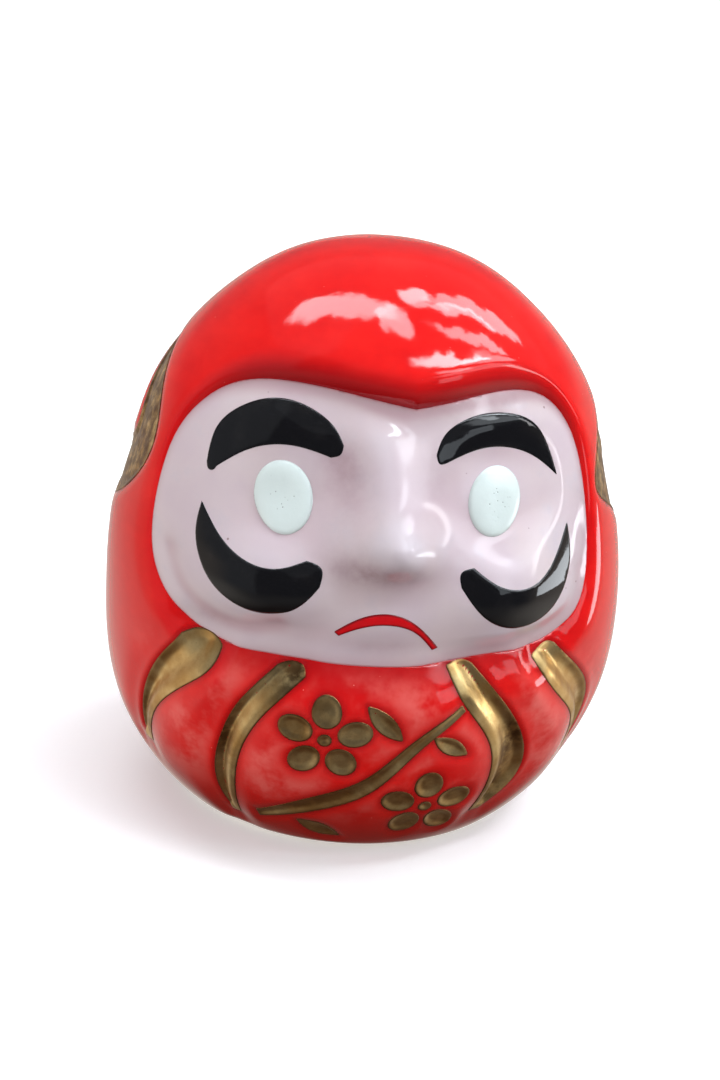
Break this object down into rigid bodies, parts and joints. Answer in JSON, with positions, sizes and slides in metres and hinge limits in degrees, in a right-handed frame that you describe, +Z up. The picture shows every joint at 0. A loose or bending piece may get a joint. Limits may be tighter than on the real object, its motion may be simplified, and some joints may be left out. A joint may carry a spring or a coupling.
{
  "type": "daruma doll",
  "caption": "Rounded ceramic daruma doll with a glossy red hood and robe, a sunken white face, bold black brows and whiskers, and brushed gold strokes.",
  "frame": {"origin": "on the ground, under the middle of the doll's box", "axes": "+Z up from foot to crown, -Y out of the face, +X to the viewer's right"},
  "size_m": [0.1, 0.0932, 0.1094],
  "materials": {
    "fired_clay": "matt unglazed clay",
    "red_glaze": "high-gloss translucent red glaze",
    "white_glaze": "high-gloss pinkish white glaze",
    "pale_enamel": "glossy pale mint enamel",
    "black_enamel": "glossy black enamel",
    "red_enamel": "glossy red enamel line",
    "gold_lustre": "brushed gold lustre"
  },
  "bodies": {
    "root": {"blossom_left_heart": "gold_lustre", "blossom_left_petal_1": "gold_lustre", "blossom_left_petal_2": "gold_lustre", "blossom_left_petal_3": "gold_lustre", "blossom_left_petal_4": "gold_lustre", "blossom_left_petal_5": "gold_lustre", "blossom_right_heart": "gold_lustre", "blossom_right_petal_1": "gold_lustre", "blossom_right_petal_2": "gold_lustre", "blossom_right_petal_3": "gold_lustre", "blossom_right_petal_4": "gold_lustre", "blossom_right_petal_5": "gold_lustre", "body_shell": "fired_clay", "brow_left": "black_enamel", "brow_right": "black_enamel", "ear_mark_left": "gold_lustre", "ear_mark_right": "gold_lustre", "eye_left": "pale_enamel", "eye_right": "pale_enamel", "face_glaze": "white_glaze", "leaf_high": "gold_lustre", "leaf_low": "gold_lustre", "leaf_right": "gold_lustre", "mouth": "red_enamel", "robe_glaze": "red_glaze", "stripe_inner_left": "gold_lustre", "stripe_inner_right": "gold_lustre", "stripe_outer_left": "gold_lustre", "stripe_outer_right": "gold_lustre", "twig": "gold_lustre", "whisker_left": "black_enamel", "whisker_right": "black_enamel"}
  },
  "joints": []
}
